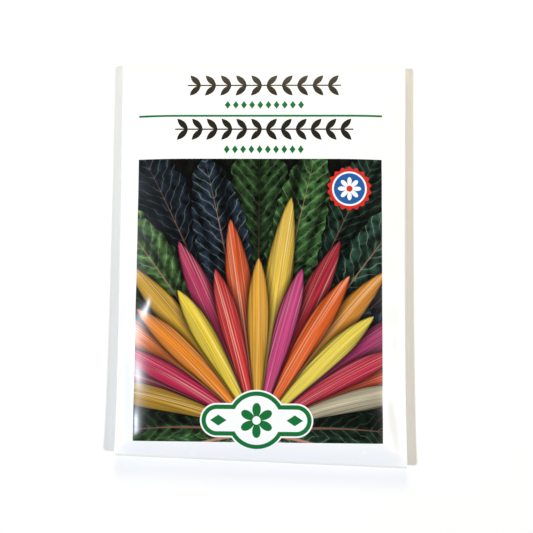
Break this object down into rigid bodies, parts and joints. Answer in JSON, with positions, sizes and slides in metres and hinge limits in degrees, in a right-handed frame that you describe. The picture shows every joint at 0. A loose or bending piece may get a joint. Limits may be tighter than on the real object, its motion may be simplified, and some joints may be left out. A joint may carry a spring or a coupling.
{
  "type": "seed packet",
  "caption": "Flat sealed paper seed packet, puffed up by the seeds inside it, folded from one sheet with side, bottom and closing flaps glued at the back.",
  "frame": {"origin": "bottom centre of the packet's box, on the surface that it lies on", "axes": "+X to the packet's right and +Y to its top, both seen from the printed front; +Z out of the front"},
  "size_m": [0.0826, 0.115, 0.0069],
  "materials": {
    "paper": "gloss coated white paper with a printed front",
    "adhesive": "dried paper glue",
    "seed": "dry corky seed husk"
  },
  "bodies": {
    "root": {"envelope": "paper", "side_seam_glue": "adhesive", "bottom_flap_glue": "adhesive", "top_flap_glue": "adhesive", "seeds": "seed"}
  },
  "joints": []
}
